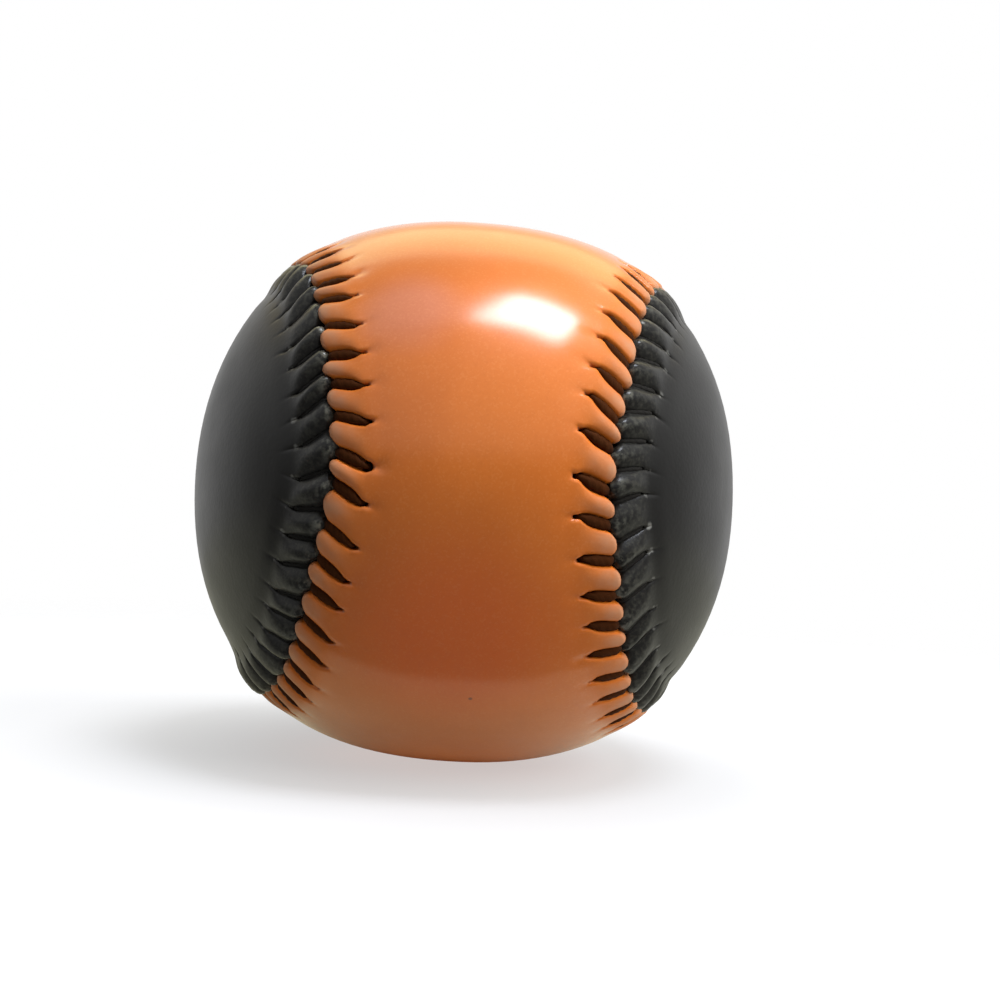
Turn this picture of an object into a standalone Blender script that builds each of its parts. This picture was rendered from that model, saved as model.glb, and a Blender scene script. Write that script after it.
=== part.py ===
"""Soft baseball: a sponge core, two foam linings, two stitched cover panels and the thread that laces them."""

import bmesh
import bpy
import numpy as np

MM = 0.001

# Ball, in millimetres: about 9 inches round
MEAN_RADIUS = 36.5
PANEL_MIDDLE_RADIUS = 35.6
SEAM_SWELL = 1.35
SWELL_REACH = 28.0
WAIST_FULLNESS = 0.6

# Seam curve: half the waist as an angle, and the bow that rounds the lobes
HALF_WAIST = 0.41
LOBE_BOW = 0.384
SPINE_END = 1.92
STITCHES = 108
STITCHES_PER_STRIP = 2

# Stitch row, in millimetres from the seam line
TONGUE_TIP = 0.25
TONGUE_CREST = 0.8
NOTCH_ROOT = 1.5
HOLE_NEAR = 3.2
HOLE_MIDDLE = 3.9
HOLE_FAR = 4.6
SHOULDER = 7.5
STITCH_SLANT = 1.42
HALF_GROOVE = 0.85
HALF_TONGUE_TOP = 0.6

# Cover, as radii in millimetres
CREST_RADIUS = (37.6, 37.35, 36.95)
FLOOR_RADIUS = (36.15, 36.05, 36.3)
STITCH_ROW_UNDERSIDE = 35.35
COVER_THICKNESS = 1.1

# Lining and core, in millimetres
CORE_RADIUS = 32.5
LINING_INNER_RADIUS = 33.1
LINING_EDGE_RADIUS = 33.8
LINING_EDGE = 0.5
LINING_SKIVE = (7.0, 9.0)
CEMENT_GAP = 0.4

# Thread, in millimetres
THREAD_RADIUS = 0.55
THREAD_ABOVE_FLOOR = 0.65
THREAD_UNDER_RADIUS = 34.55
THREAD_DIVE = 0.75
THREAD_TAIL = 6.3

# Edges sharper than this stay sharp in shading
SHARP_ANGLE = np.radians(70)

# Colours, with roughness
ORANGE_LEATHER = ((0.62, 0.21, 0.05, 1.0), 0.3)
BLACK_LEATHER = ((0.05, 0.05, 0.05, 1.0), 0.45)
LINING_FOAM = ((0.72, 0.68, 0.56, 1.0), 0.9)
SPONGE_RUBBER = ((0.24, 0.20, 0.16, 1.0), 0.95)
WAXED_THREAD = ((0.02, 0.02, 0.02, 1.0), 0.4)


def seam_direction(turn):
    """Unit vectors along the seam. The polar angle swings about the equator while the longitude advances
    half as fast, so turn from 0 to four pi closes the curve between the two panels."""
    polar = np.pi / 2 - (np.pi / 2 - HALF_WAIST) * np.cos(turn)
    longitude = turn / 2 + LOBE_BOW * np.sin(2 * turn)
    across = np.sin(polar)
    return np.stack([across * np.cos(longitude), -np.cos(polar), across * np.sin(longitude)], axis=-1)


def seam_table():
    """Matching lists of station, counted in stitches along the seam, and turn, with the stitch pitch in mm."""
    turns = np.linspace(0, 4 * np.pi, 8001)
    steps = np.linalg.norm(np.diff(seam_direction(turns), axis=0), axis=1)
    length = np.concatenate([[0], np.cumsum(steps)])
    return STITCHES * length / length[-1], turns, MEAN_RADIUS * length[-1] / STITCHES


STATION_LIST, TURN_LIST, PITCH = seam_table()
STRIP_COLUMNS = np.arange(0.0, STITCHES, STITCHES_PER_STRIP)


def turn_at(station):
    return np.interp(np.mod(station, STITCHES), STATION_LIST, TURN_LIST)


def direction_at(station, offset):
    """Unit vectors at a distance in mm from the seam, square to it: positive on the orange side."""
    turn = turn_at(station)
    point = seam_direction(turn)
    along = seam_direction(turn + 1e-4) - seam_direction(turn - 1e-4)
    along /= np.linalg.norm(along, axis=-1, keepdims=True)
    inward = np.cross(point, along)
    angle = np.asarray(offset)[..., None] / MEAN_RADIUS
    return point * np.cos(angle) + inward * np.sin(angle)


def spine_direction(station):
    """Unit vectors on the middle line of the orange panel, which runs over the waist from lobe to lobe."""
    point = seam_direction(turn_at(station))
    swing = np.arctan2(point[..., 2], -point[..., 1])
    along = SPINE_END * np.sin(np.pi / 2 * swing / (np.pi - HALF_WAIST))
    return np.stack([np.zeros_like(along), -np.cos(along), np.sin(along)], axis=-1)


def inner_row(station, start, share):
    """Unit vectors part of the way from an offset to the panel's middle line, with their distance from the
    seam and the middle line's own, in mm."""
    near = direction_at(station, np.full(len(station), start))
    far = spine_direction(station)
    angle = np.arccos(np.clip((near * far).sum(axis=1), -1, 1))[:, None]
    direction = (near * np.sin((1 - share) * angle) + far * np.sin(share * angle)) / np.sin(angle)
    span = MEAN_RADIUS * angle[:, 0]
    return direction, start + share * span, start + span


def ease(value):
    """Smooth step from 0 to 1: three times the square less twice the cube."""
    value = np.clip(value, 0, 1)
    return value * value * (3 - 2 * value)


def cover_radius(distance):
    """Radius of the cover's smooth outside: lowest in mid panel, swelling towards the seam."""
    return PANEL_MIDDLE_RADIUS + SEAM_SWELL * (1 - ease(distance / SWELL_REACH))


def panel_radius(distance, middle):
    """Radius of the cover's outside inwards of the shoulder: a cubic that leaves the shoulder at the swell's
    own slope and arrives level at the middle line."""
    span = middle - SHOULDER
    share = (distance - SHOULDER) / span
    start = cover_radius(SHOULDER)
    slope = (cover_radius(SHOULDER + 0.01) - start) / 0.01 * span
    end = PANEL_MIDDLE_RADIUS + SEAM_SWELL * (1 - ease(middle / SWELL_REACH)) ** WAIST_FULLNESS
    return start + (end - start) * ease(share) + slope * share * (1 - share) ** 2


def lag(offset):
    """How far behind its hole, in stitches, a groove lies at an offset: grooves lean back towards the seam."""
    return STITCH_SLANT / PITCH * np.clip(1 - np.asarray(offset) / HOLE_MIDDLE, 0, 1)


def add_row(body, columns, direction, radius):
    """One closed row of points, kept with the columns that order it."""
    points = direction * np.broadcast_to(radius, len(columns))[:, None] * MM
    return list(columns), [body.verts.new(point) for point in points]


def stitch_row(body, columns, offset, radius):
    offset = np.broadcast_to(offset, len(columns))
    return add_row(body, columns, direction_at(columns - lag(offset), offset), radius)


def bridge(body, first, second):
    """Triangles between two closed rows, stepping each time along the row whose next point comes sooner."""
    (first_columns, first_points), (second_columns, second_points) = first, second
    first_columns = first_columns + [first_columns[0] + STITCHES]
    second_columns = second_columns + [second_columns[0] + STITCHES]
    i = j = 0
    while i < len(first_points) or j < len(second_points):
        a = first_points[i % len(first_points)]
        b = second_points[j % len(second_points)]
        step_first = j == len(second_points) or (
            i < len(first_points) and first_columns[i + 1] <= second_columns[j + 1]
        )
        if step_first:
            i += 1
            body.faces.new((a, first_points[i % len(first_points)], b))
        else:
            j += 1
            body.faces.new((a, second_points[j % len(second_points)], b))


def quads(body, first, second, hole_every=None):
    """Quads between two rows of equal count, leaving a hole at the first of each group if asked."""
    points, others = first[1], second[1]
    count = len(points)
    for i in range(count):
        if hole_every and i % hole_every == 0:
            continue
        k = (i + 1) % count
        body.faces.new((points[i], points[k], others[k], others[i]))


def close_on_spine(body, row, radius):
    """Faces from the innermost row to the middle line, where opposite columns share a point."""
    columns, points = row
    count = len(points)
    spine = {}
    for m in range(count):
        pair = min(m, (count // 2 - m) % count)
        if pair not in spine:
            direction = spine_direction(np.array([columns[pair]]))[0]
            spine[pair] = body.verts.new(direction * radius(columns[pair]) * MM)
        spine[m] = spine[pair]
    for m in range(count):
        k = (m + 1) % count
        corners = [points[m], points[k], spine[k], spine[m]]
        body.faces.new(list(dict.fromkeys(corners)))


def spine_radius(start, radius_at):
    def radius(column):
        _, distance, middle = inner_row(np.array([column]), start, 1.0)
        return radius_at(distance, middle)[0]

    return radius


def add_interior(body, row, start, radius_at):
    """Carries a row inwards over the panel in two more rows and closes it on the middle line."""
    for share in (1 / 3, 2 / 3):
        direction, distance, middle = inner_row(STRIP_COLUMNS, start, share)
        following = add_row(body, STRIP_COLUMNS, direction, radius_at(distance, middle))
        bridge(body, row, following)
        row = following
    close_on_spine(body, row, spine_radius(start, radius_at))


def add_cover(phase):
    """One cover panel: flat-topped tongues between slanted grooves along the seam, and a hole at each
    groove's inner end."""
    body = bmesh.new()
    stitch = np.arange(STITCHES)[:, None] + phase
    half = HALF_GROOVE / PITCH
    top = HALF_TONGUE_TOP / PITCH
    outer_columns = (stitch + [-half, half, 0.5 - top, 0.5 + top]).ravel()
    hole_columns = (stitch + [-half, half]).ravel()
    crest = np.tile([False, False, True, True], STITCHES)

    def outer(offset, level):
        return stitch_row(body, outer_columns, offset, np.where(crest, CREST_RADIUS[level], FLOOR_RADIUS[level]))

    def under_cover(distance, middle):
        return panel_radius(distance, middle) - COVER_THICKNESS

    tip = outer(np.where(crest, TONGUE_CREST, NOTCH_ROOT), 0)
    near = outer(HOLE_NEAR, 1)
    far = outer(HOLE_FAR, 2)
    shoulder = stitch_row(body, stitch.ravel() - 0.5, SHOULDER, cover_radius(SHOULDER))
    edge = stitch_row(body, outer_columns, np.where(crest, TONGUE_TIP, NOTCH_ROOT), STITCH_ROW_UNDERSIDE)
    under_near = stitch_row(body, hole_columns, HOLE_NEAR, STITCH_ROW_UNDERSIDE)
    under_far = stitch_row(body, hole_columns, HOLE_FAR, STITCH_ROW_UNDERSIDE)
    under_shoulder = stitch_row(body, STRIP_COLUMNS, SHOULDER, cover_radius(SHOULDER) - COVER_THICKNESS)

    quads(body, edge, tip)
    quads(body, tip, near)
    quads(body, near, far, hole_every=4)
    bridge(body, far, shoulder)
    add_interior(body, shoulder, SHOULDER, panel_radius)
    bridge(body, edge, under_near)
    quads(body, under_near, under_far, hole_every=2)
    bridge(body, under_far, under_shoulder)
    add_interior(body, under_shoulder, SHOULDER, under_cover)
    for k in range(STITCHES):
        rim = [near[1][4 * k], near[1][4 * k + 1], far[1][4 * k + 1], far[1][4 * k]]
        under = [under_near[1][2 * k], under_near[1][2 * k + 1], under_far[1][2 * k + 1], under_far[1][2 * k]]
        for side in range(4):
            following = (side + 1) % 4
            body.faces.new((rim[side], rim[following], under[following], under[side]))
    return body


def add_lining():
    """One foam lining under a panel, pared thin along the seam so that the thread can cross over it."""
    body = bmesh.new()

    def outside(distance, middle):
        return panel_radius(distance, middle) - COVER_THICKNESS - CEMENT_GAP

    def inside(distance, middle):
        return np.full_like(distance, LINING_INNER_RADIUS)

    thin, full = LINING_SKIVE
    full_radius = cover_radius(full) - COVER_THICKNESS - CEMENT_GAP
    edge = stitch_row(body, STRIP_COLUMNS, LINING_EDGE, LINING_EDGE_RADIUS)
    pared = stitch_row(body, STRIP_COLUMNS, thin, LINING_EDGE_RADIUS)
    padded = stitch_row(body, STRIP_COLUMNS, full, full_radius)
    under_edge = stitch_row(body, STRIP_COLUMNS, LINING_EDGE, LINING_INNER_RADIUS)
    under_padded = stitch_row(body, STRIP_COLUMNS, full, LINING_INNER_RADIUS)
    quads(body, under_edge, edge)
    quads(body, edge, pared)
    quads(body, pared, padded)
    add_interior(body, padded, full, outside)
    quads(body, under_edge, under_padded)
    add_interior(body, under_padded, full, inside)
    return body


def to_black_side(body):
    """Takes a panel to the other side of the seam: a quarter turn about Y with Y reversed."""
    for vert in body.verts:
        x, y, z = vert.co
        vert.co = (-z, -y, x)


def lacing_points():
    """The thread's path, in mm. It comes up a hole on one panel, lies in the groove down to the seam, dives
    there under the other panel, comes up that panel's next hole half a stitch on, and so round the ball."""
    rise = FLOOR_RADIUS[1] + THREAD_ABOVE_FLOOR
    dive = FLOOR_RADIUS[0] + THREAD_ABOVE_FLOOR
    under = THREAD_UNDER_RADIUS
    path = [(0.0, THREAD_TAIL, under)]
    for count in range(2 * STITCHES):
        hole = -count / 2
        side = 1 if count % 2 == 0 else -1
        seam = hole - lag(THREAD_DIVE)
        path.append((hole, side * HOLE_MIDDLE, under))
        path.append((hole, side * HOLE_MIDDLE, rise))
        path.append((seam, side * THREAD_DIVE, dive))
        path.append((seam, side * THREAD_DIVE, under))
    path.append((-float(STITCHES), HOLE_MIDDLE / 2, under))
    station, offset, radius = np.array(path).T
    return direction_at(station, offset) * radius[:, None]


def material(name, finish):
    colour, roughness = finish
    made = bpy.data.materials.new(name)
    made.use_nodes = True
    shader = made.node_tree.nodes["Principled BSDF"]
    shader.inputs["Base Color"].default_value = colour
    shader.inputs["Roughness"].default_value = roughness
    shader.inputs["Metallic"].default_value = 0.0
    made.diffuse_color = colour
    return made


def place(name, data, finish):
    node = bpy.data.objects.new(name, data)
    node.data.materials.append(material(name, finish))
    bpy.context.scene.collection.objects.link(node)


def place_body(name, body, finish):
    bmesh.ops.recalc_face_normals(body, faces=body.faces)
    mesh = bpy.data.meshes.new(name)
    body.to_mesh(mesh)
    body.free()
    mesh.shade_smooth()
    mesh.set_sharp_from_angle(angle=SHARP_ANGLE)
    place(name, mesh, finish)


def place_core():
    body = bmesh.new()
    bmesh.ops.create_icosphere(body, subdivisions=3, radius=CORE_RADIUS * MM)
    place_body("sponge_core", body, SPONGE_RUBBER)


def place_panels():
    for colour, finish, phase in (("orange", ORANGE_LEATHER, 0.0), ("black", BLACK_LEATHER, 0.5)):
        lining = add_lining()
        cover = add_cover(phase)
        if colour == "black":
            to_black_side(lining)
            to_black_side(cover)
        place_body(f"{colour}_foam_lining", lining, LINING_FOAM)
        place_body(f"{colour}_cover_panel", cover, finish)


def place_thread():
    curve = bpy.data.curves.new("stitching_thread", "CURVE")
    curve.dimensions = "3D"
    curve.bevel_depth = THREAD_RADIUS * MM
    curve.bevel_resolution = 0
    curve.use_fill_caps = True
    points = lacing_points() * MM
    spline = curve.splines.new("POLY")
    spline.points.add(len(points) - 1)
    for point, place_at in zip(spline.points, points):
        point.co = (*place_at, 1.0)
    place("stitching_thread", curve, WAXED_THREAD)


def main():
    for node in list(bpy.data.objects):
        bpy.data.objects.remove(node)
    place_core()
    place_panels()
    place_thread()


main()
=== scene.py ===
"""Soft baseball dressed for a studio picture: two laced leather panels, their linings and a sponge core."""

import bpy
import numpy as np
from mathutils import Matrix, Vector


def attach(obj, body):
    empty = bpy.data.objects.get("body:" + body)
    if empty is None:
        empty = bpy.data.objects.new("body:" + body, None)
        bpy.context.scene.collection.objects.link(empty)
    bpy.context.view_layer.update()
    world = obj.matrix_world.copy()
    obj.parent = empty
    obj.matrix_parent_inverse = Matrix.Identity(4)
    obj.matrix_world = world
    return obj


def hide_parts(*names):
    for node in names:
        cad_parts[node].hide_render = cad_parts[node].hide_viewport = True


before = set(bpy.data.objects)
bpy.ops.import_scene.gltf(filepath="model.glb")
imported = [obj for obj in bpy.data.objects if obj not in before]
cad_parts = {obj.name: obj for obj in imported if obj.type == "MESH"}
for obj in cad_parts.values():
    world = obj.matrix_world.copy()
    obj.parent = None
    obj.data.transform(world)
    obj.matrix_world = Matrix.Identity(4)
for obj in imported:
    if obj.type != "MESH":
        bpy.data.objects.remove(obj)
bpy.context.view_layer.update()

MM = 0.001
BODY = "root"

# Ball and seam, in millimetres and radians
MEAN_RADIUS = 36.5
PANEL_MIDDLE_RADIUS = 35.6
SWELL_REACH = 28.0
WAIST_FULLNESS = 0.6
HALF_WAIST = 0.41
LOBE_BOW = 0.384
SPINE_END = 1.92
SEAM_SAMPLES = 8001
SMALL_TURN = 1e-4
SMALL_STEP = 0.01
DENT_DEPTH = 0.03
STITCHES = 108
QUARTER = STITCHES / 4

# Each row's first stitch along the seam, in stitches, and the seed of its hand sewing
ORANGE_PHASE, ORANGE_SEED = 0.0, 11
BLACK_PHASE, BLACK_SEED = 0.5, 29

# Stitch row, in millimetres from the seam line
FLOOR_SETBACK = 1.05
FLOOR_ROUND = 0.25
HOLE_MIDDLE = 3.9
HOLE_ROWS = (3.4, 3.65, 3.9, 4.15, 4.4)
GROOVE_WIDEST = 2.0
GROOVE_END = 4.8
GROOVE_REOPENS = (4.5, 6.1)
SETBACK_REACH = (0.0, 3.0)
SHOULDER = 7.5
STITCH_SLANT = 1.42
STRAY_FADE = (4.5, 7.5)

# Outline of a groove: how far its mouth closes, how full its almond is, and the crease left past its end
MOUTH_CLOSING = 0.1
ALMOND_FULLNESS = 2.4
CREASE_SHARE = 0.3

# Spread of hand sewing: millimetres for place, slant, tip and reach, shares for the rest
SEWING_SPREAD = {
    "place": 0.24, "slant": 0.25, "width": 0.09, "puff": 0.16, "tip": 0.09, "reach": 0.25, "pucker": 0.5,
}

# What differs between the two rows: the orange film is stiff and blunt, the black one soft and fat
ORANGE_ROW = {
    "swell": 1.75, "ridge": 0.3, "valley": 0.0, "proud": 0.0,
    "half_groove": 0.76, "groove_wall": 3.0, "groove_shape": (0.0, 0.45, 0.8, 1.0),
    "floor": 36.45, "thread_top": 36.95, "puff_height": 0.28, "puff_flatness": 2.2,
    "tip_gap": -0.25, "tip_round": 0.8, "lip_setback": 0.65, "bluntness": 2.6,
}
BLACK_ROW = {
    "swell": 1.35, "ridge": 0.65, "valley": 0.12, "proud": 0.8,
    "half_groove": 0.38, "groove_wall": 2.0, "groove_shape": (0.0, 0.9, 0.15, 1.0),
    "floor": 36.12, "thread_top": 36.42, "puff_height": 0.66, "puff_flatness": 1.9,
    "tip_gap": -0.6, "tip_round": 1.15, "lip_setback": 1.0, "bluntness": 1.9,
}

# Forms of the stitch row: depths, widths and, from the seam line, starts and ends, in millimetres
PUFF_REACH = (2.0, 5.2)
RIDGE_REACH = (1.2, 5.8)
VALLEY_WIDTH = 1.1
VALLEY_FADE = (6.2, 7.5)
PUCKER_DEPTH = 0.13
PUCKER_WIDTH = 0.9
PUCKER_START = (4.1, 4.9)
PUCKER_END = (4.9, 6.5)
HOLE_SHAPE_START = (2.4, 3.2)
TIP_NARROWING = 0.5

# Where the black row stands proud: middle and half length in stitches, and reach in millimetres
PROUD_STITCH = 38.7
PROUD_STITCHES = 3.0
PROUD_REACH = (2.5, 7.5)

# Underside of the cover, in millimetres
UNDERSIDE_RADIUS = 35.35
UNDERSIDE_RISE = (5.1, 7.5)
COVER_THICKNESS = 1.1

# Reach of the marks that the finishes read, in millimetres from the seam line
GROOVE_MARK_END = (4.45, 5.05)
CREST_REACH = (-0.2, 5.4)
WEAR_REACH = (-0.3, 1.9)
RIM_OFFSET = 4.7
RIM_WIDTH = 0.65
DULLED_REACH = (2.5, 6.0)

# Core and lining, in millimetres and counts, with the lining's columns counted per stitch
CORE_RADIUS = 32.5
CORE_RINGS = 97
CORE_COLUMNS = 192
FLASH_ROOM = 0.2
FLASH_HEIGHT = 0.18
FLASH_WIDTH = 0.5
LINING_INNER_RADIUS = 32.9
LINING_EDGE_RADIUS = 33.8
LINING_EDGE = 0.5
LINING_SKIVE = (7.0, 9.0)
LINING_COLUMNS = 4
LINING_SHARES = np.linspace(1, 0, 10)[:-1]
LINING_SKIVE_ROWS = 5
LINING_EDGE_ROWS = 6
CEMENT_GAP = 0.35

# Thread, in millimetres and counts
THREAD_RADIUS = 0.53
THREAD_UNDER = 34.55
THREAD_DIVE = 0.4
THREAD_BEND = 0.4
THREAD_TAIL = 6.3
THREAD_RISE = (35.6, 36.2)
THREAD_ROUNDING = 3
THREAD_RINGS = 6900
THREAD_SIDES = 14
HIDDEN_RING_SHARE = 0.3
THREAD_TIP = 0.02
THREAD_FLATNESS = 0.28
FLAT_FROM = (0.0, 1.5)
FLAT_UNTIL = (2.2, 3.8)
THREAD_SQUEEZE = 0.35
PINCHED_FROM = (2.7, 3.7)
BLACK_SIDE_SQUEEZE = 0.75
# Where the thread's painted bounce brown from the orange film begins, in mm from the seam
ORANGE_SIDE_FROM = (0.0, 1.2)
PLIES = 3
PLY_TURN = 2.6
PLY_DEPTH = 0.07

# Marks on the orange film, a painted pink reflection beside the highlight, painted russet shade in the
# lower middle and a dark speck: where each one is, and how far out it is full and then gone, in millimetres
PINK_REFLECTION_SPOT = (-7.5, -30.8, 17.1)
PINK_REFLECTION_REACH = (2.0, 7.5)
RUSSET_SHADE_SPOT = (-1.0, -31.2, -17.5)
RUSSET_SHADE_REACH = (4.0, 16.0)
DARK_SPECK = (1.4, -26.7, -24.4)
SPECK_REACH = (0.1, 0.32)

# Grid columns of one stitch: across the groove from lip to lip, then across the tongue to the next lip
GROOVE_COLUMNS = np.array([-1.0, -0.8, -0.45, 0.0, 0.45, 0.8, 1.0])
TONGUE_COLUMNS = np.array([0.12, 0.3, 0.5, 0.7, 0.88])
COLUMNS = len(GROOVE_COLUMNS) + len(TONGUE_COLUMNS)
MIDDLE_COLUMN = 3
HOLE_HALF_COLUMNS = 2
TIP_ANGLES = np.radians([90, 75, 60, 45, 30, 15, 0])
STITCH_ROWS = (7.5, 6.8, 6.0, 5.4, 5.0, 4.7, 4.4, 4.15, 3.9, 3.65, 3.4, 3.05, 2.7, 2.4, 2.0, 1.6)
UNDER_ROWS = (2.2, 3.4, 3.65, 3.9, 4.15, 4.4, 6.0, 7.5)
INNER_SHARES = np.linspace(1, 0, 13)[:-1]
UNDER_SHARES = np.linspace(0, 1, 6)[1:]


def ease(value):
    """Smooth step from 0 to 1: three times the square less twice the cube."""
    value = np.clip(value, 0, 1)
    return value * value * (3 - 2 * value)


def rise(value, span):
    """Eased share of the way through a span of values, held at 0 before it and at 1 after it."""
    start, end = span
    return ease((value - start) / (end - start))


def seam_direction(turn):
    """Unit vectors along the seam: the polar angle swings about the equator while the longitude advances
    half as fast, bowed at each lobe, so turn from 0 to four pi closes the curve."""
    polar = np.pi / 2 - (np.pi / 2 - HALF_WAIST) * np.cos(turn)
    longitude = turn / 2 + LOBE_BOW * np.sin(2 * turn)
    across = np.sin(polar)
    return np.stack([across * np.cos(longitude), -np.cos(polar), across * np.sin(longitude)], axis=-1)


def seam_table():
    """Matching lists of station, counted in stitches along the seam by summed chords, and turn; with the
    pitch of the stitches in mm."""
    turns = np.linspace(0, 4 * np.pi, SEAM_SAMPLES)
    steps = np.linalg.norm(np.diff(seam_direction(turns), axis=0), axis=1)
    length = np.concatenate([[0], np.cumsum(steps)])
    return STITCHES * length / length[-1], turns, MEAN_RADIUS * length[-1] / STITCHES


STATION_LIST, TURN_LIST, PITCH = seam_table()


def turn_at(station):
    """Turn of the seam curve at a station, read off the matching lists."""
    return np.interp(np.mod(station, STITCHES), STATION_LIST, TURN_LIST)


def seam_frame(station):
    """Point, forward and inward unit vectors of the seam: inward is square to it, on the orange side."""
    turn = turn_at(station)
    point = seam_direction(turn)
    forward = seam_direction(turn + SMALL_TURN) - seam_direction(turn - SMALL_TURN)
    forward /= np.linalg.norm(forward, axis=-1, keepdims=True)
    return point, forward, np.cross(point, forward)


def direction_at(station, offset):
    """Unit vectors at an arc distance in mm from the seam, swung square to it towards the orange side."""
    point, _, inward = seam_frame(station)
    angle = np.asarray(offset)[..., None] / MEAN_RADIUS
    return point * np.cos(angle) + inward * np.sin(angle)


def spine_direction(station):
    """Unit vectors on the middle line of the orange panel, a great circle over the waist from lobe to lobe,
    whose angle is a sine of the seam point's own angle about X."""
    point = seam_direction(turn_at(station))
    swing = np.arctan2(point[..., 2], -point[..., 1])
    along = SPINE_END * np.sin(np.pi / 2 * swing / (np.pi - HALF_WAIST))
    return np.stack([np.zeros_like(along), -np.cos(along), np.sin(along)], axis=-1)


def inner_rows(station, start, shares):
    """Rows of unit vectors on great circles from an offset to the middle line, their distance from the seam
    and the middle line's own, in mm."""
    near = direction_at(station, np.full(len(station), start))
    far = spine_direction(station)
    angle = np.arccos(np.clip((near * far).sum(axis=1), -1, 1))[None, :, None]
    share = np.asarray(shares)[:, None, None]
    direction = (near * np.sin((1 - share) * angle) + far * np.sin(share * angle)) / np.sin(angle)
    span = MEAN_RADIUS * angle[..., 0]
    return direction, start + share[..., 0] * span, start + span


def cover_radius(row, distance):
    """Smooth outside of the cover: an eased swell from mid panel up to the seam."""
    return PANEL_MIDDLE_RADIUS + row["swell"] * (1 - ease(np.asarray(distance) / SWELL_REACH))


def panel_radius(row, distance, middle):
    """Outside of the cover inwards of the shoulder: a cubic that leaves the shoulder at the swell's own
    slope and arrives level at the middle line."""
    span = middle - SHOULDER
    share = (distance - SHOULDER) / span
    start = cover_radius(row, SHOULDER)
    slope = (cover_radius(row, SHOULDER + SMALL_STEP) - start) / SMALL_STEP * span
    end = PANEL_MIDDLE_RADIUS + row["swell"] * (1 - ease(middle / SWELL_REACH)) ** WAIST_FULLNESS
    return start + (end - start) * ease(share) + slope * share * (1 - share) ** 2


def hand_dents(direction):
    """Slight unevenness of a padded skin, in mm: three sine waves across the ball, the first one bent."""
    x, y, z = direction[..., 0], direction[..., 1], direction[..., 2]
    bent = np.sin(9 * x + 4 * z + 2 * np.sin(6 * y))
    return DENT_DEPTH * (bent + np.sin(8 * z - 5 * y + 1.3) + np.sin(11 * y + 6 * x + 0.7))


def to_black_side(points):
    """The other side of the seam: a quarter turn about Y with Y reversed."""
    return np.stack([-points[..., 2], -points[..., 1], points[..., 0]], axis=-1)


def hand_sewing(row, seed):
    """A row of stitches with what differs from one to the next: normal draws, cut at twice their spread."""
    draw = np.random.default_rng(seed)
    drawn = {
        name: draw.normal(0, spread, STITCHES).clip(-2 * spread, 2 * spread)
        for name, spread in SEWING_SPREAD.items()
    }
    return {**row, **drawn}


def stitch_of_column():
    """Number of the stitch that each column belongs to, starting at the middle of a groove."""
    return np.roll(np.repeat(np.arange(STITCHES), COLUMNS), -MIDDLE_COLUMN)


def column_values(groove, tongue):
    """Repeats one value per column of a stitch all round the seam, starting at the middle of a groove."""
    return np.roll(np.tile(np.concatenate([groove, tongue]), STITCHES), -MIDDLE_COLUMN)


def groove_line(sewing, stitch, phase, offset):
    """Place along the seam, in mm, of a stitch's groove: it slants back from its hole to the seam."""
    fade = 1 - rise(offset, STRAY_FADE)
    slant = (STITCH_SLANT + sewing["slant"][stitch]) * np.clip(1 - offset / HOLE_MIDDLE, 0, 1)
    return (stitch + phase) * PITCH - slant + sewing["place"][stitch] * fade


def groove_half_width(sewing, stitch, offset):
    """Half width of a groove, in mm: an almond, widest near the seam and pointed past the hole, where the
    columns open again to their even spacing."""
    end = GROOVE_END + sewing["reach"][stitch]
    near = 1 - MOUTH_CLOSING * np.clip(1 - offset / GROOVE_WIDEST, 0, 1) ** 2
    far = np.clip((offset - GROOVE_WIDEST) / (end - GROOVE_WIDEST), 0, 1)
    almond = near * (1 - far**ALMOND_FULLNESS)
    crease = CREASE_SHARE + (1 - CREASE_SHARE) * rise(offset, GROOVE_REOPENS)
    return sewing["half_groove"] * (1 + sewing["width"][stitch]) * np.maximum(almond, crease)


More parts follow.
